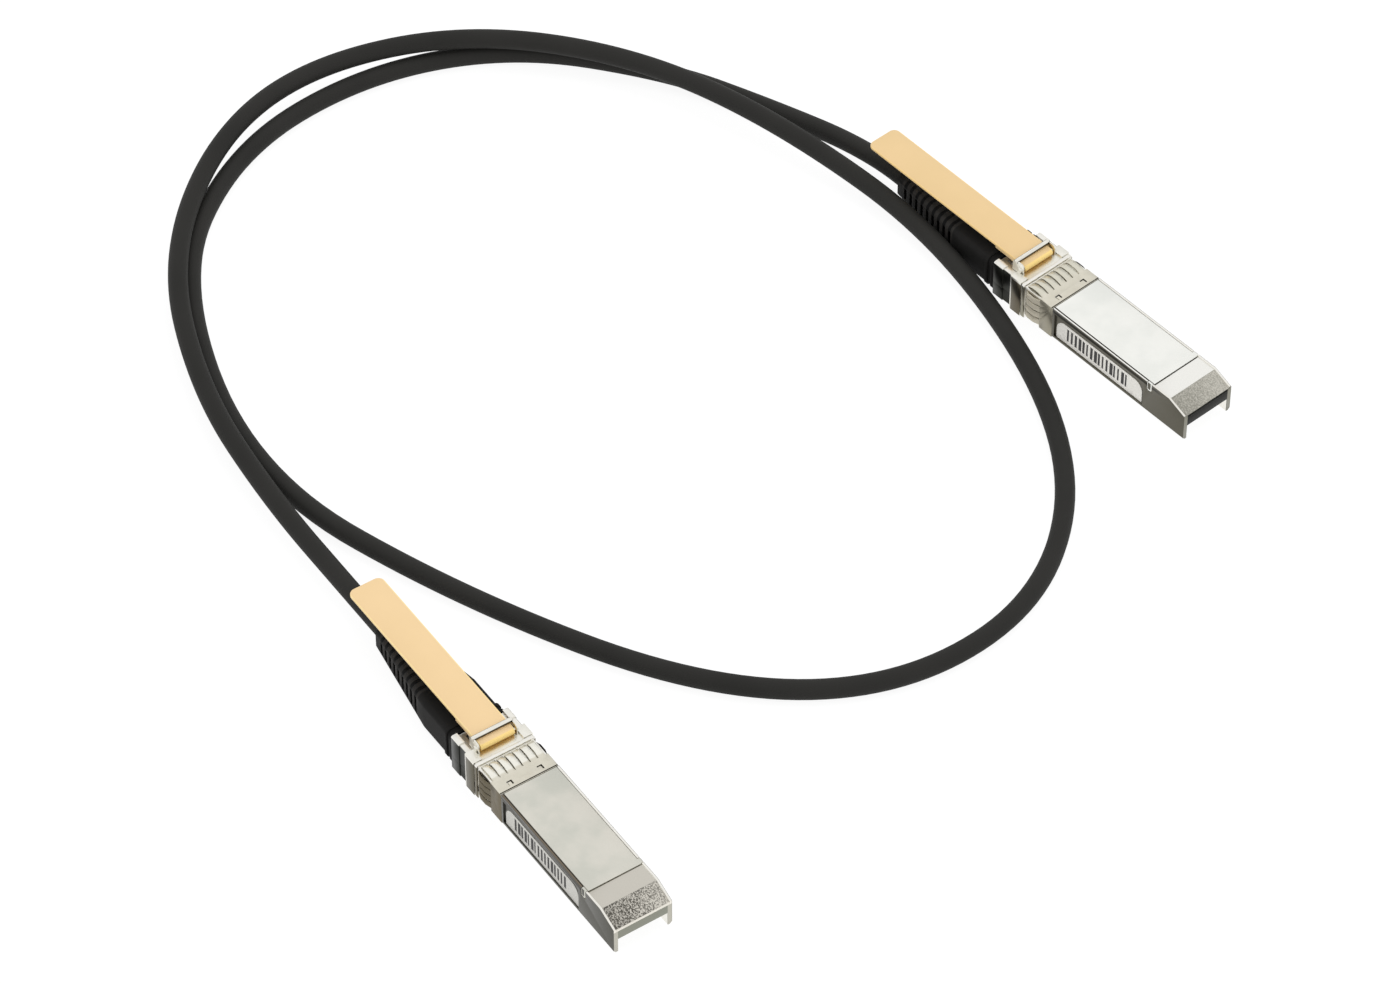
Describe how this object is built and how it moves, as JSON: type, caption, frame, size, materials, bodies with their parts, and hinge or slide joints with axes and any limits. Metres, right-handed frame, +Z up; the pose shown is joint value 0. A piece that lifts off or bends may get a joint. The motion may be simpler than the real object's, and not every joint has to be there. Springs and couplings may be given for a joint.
{
  "type": "direct attach copper cable",
  "caption": "Twin-axial copper cable with a small-form-factor pluggable plug on each end, each with a grooved boot, a sliding latch and a flat pull tab.",
  "frame": {"origin": "table level under the middle of the box round the two plugs", "axes": "+Z up from the table, +Y along the longer side of the box round the two plugs, both plugs with their undersides down"},
  "size_m": [0.2204, 0.2512, 0.0116],
  "materials": {
    "die_cast": "nickel-plated zinc die casting, fine cast grain on the nose slope",
    "cover_steel": "satin nickel-plated sheet",
    "spring_steel": "satin, slightly warm",
    "latch_steel": "bright nickel-plated sheet",
    "circuit_board": "solder-masked board",
    "gold": "hard gold plating",
    "chip_plastic": "moulded package",
    "ferrule_brass": "plain crimped metal",
    "core_insulation": "foamed insulation",
    "strap_plastic": "smooth semi-flexible film, light tan",
    "boot_rubber": "moulded, satin",
    "label_paper": "matt label stock",
    "jacket": "extruded jacket, soft satin"
  },
  "bodies": {
    "assembly": {"lower_shell_a": "die_cast", "lower_shell_b": "die_cast", "upper_shell_a": "die_cast", "upper_shell_b": "die_cast", "top_cover_a": "cover_steel", "top_cover_b": "cover_steel", "emi_collar_a": "spring_steel", "emi_collar_b": "spring_steel", "paddle_card_a": "circuit_board", "paddle_card_b": "circuit_board", "contact_pads_a": "gold", "contact_pads_b": "gold", "card_components_a": "chip_plastic", "card_components_b": "chip_plastic", "crimp_ferrule_a": "ferrule_brass", "crimp_ferrule_b": "ferrule_brass", "wire_pairs_a": "core_insulation", "wire_pairs_b": "core_insulation", "return_springs_a": "spring_steel", "return_springs_b": "spring_steel", "strain_relief_boot_a": "boot_rubber", "strain_relief_boot_b": "boot_rubber", "side_label_a": "label_paper", "side_label_b": "label_paper", "cable": "jacket"},
    "latch_a": {"latch_slider_a": "latch_steel", "pull_tab_a": "strap_plastic"},
    "latch_b": {"latch_slider_b": "latch_steel", "pull_tab_b": "strap_plastic"}
  },
  "joints": [
    {"name": "latch_a_slide", "type": "slide", "parent": "assembly", "child": "latch_a", "axis": [-0.5628, 0.8266, 0], "range_m": [0, 0.0018], "stiffness_N_per_m": 1000, "springref_m": -0.0008, "deforming": ["return_springs_a"]},
    {"name": "latch_b_slide", "type": "slide", "parent": "assembly", "child": "latch_b", "axis": [-0.66, 0.7513, 0], "range_m": [0, 0.0018], "stiffness_N_per_m": 1000, "springref_m": -0.0008, "deforming": ["return_springs_b"]}
  ]
}
